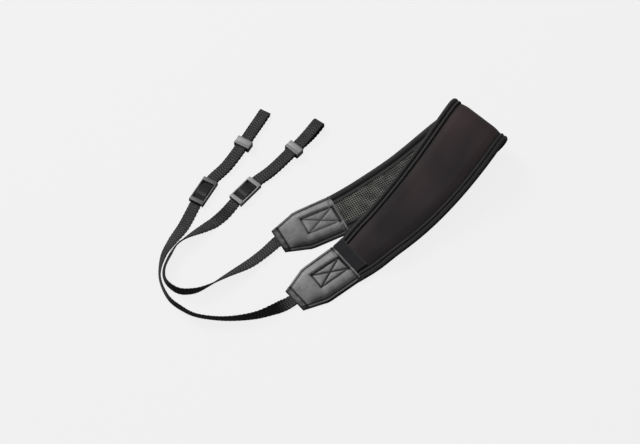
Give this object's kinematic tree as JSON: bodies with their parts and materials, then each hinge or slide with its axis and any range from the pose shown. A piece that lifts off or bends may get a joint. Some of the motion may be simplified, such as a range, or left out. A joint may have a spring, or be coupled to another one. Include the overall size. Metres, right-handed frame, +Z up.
{
  "type": "binocular neck strap",
  "caption": "Padded neck strap lying folded over, with leather end patches and narrow webbing straps that pass through adjusters and keepers and end in lug loops.",
  "frame": {"origin": "on the table, under the middle of the bounding box", "axes": "+X towards the fold of the neck pad, +Y towards the lug loops, +Z up from the table"},
  "size_m": [0.291, 0.2053, 0.0335],
  "materials": {
    "pad_cloth": "smooth brownish black cloth over a soft pad",
    "lining_mesh": "open grey air mesh with dark holes",
    "binding_tape": "matt black woven tape with a row of stitching",
    "patch_leather": "mid grey grained leather, stitched round its edge and in a crossed box",
    "label_weave": "fine blue-black woven label, left bare",
    "webbing": "black ribbed webbing",
    "fitting_plastic": "moulded grey plastic, satin"
  },
  "bodies": {
    "root": {"neck_pad": "pad_cloth", "mesh_lining": "lining_mesh", "binding_outer_edge": "binding_tape", "binding_inner_edge": "binding_tape", "label_tab": "label_weave", "end_patch_front": "patch_leather", "webbing_front": "webbing", "lug_loop_front": "webbing", "adjuster_front": "fitting_plastic", "keeper_front": "fitting_plastic", "end_patch_back": "patch_leather", "webbing_back": "webbing", "lug_loop_back": "webbing", "adjuster_back": "fitting_plastic", "keeper_back": "fitting_plastic"}
  },
  "joints": []
}
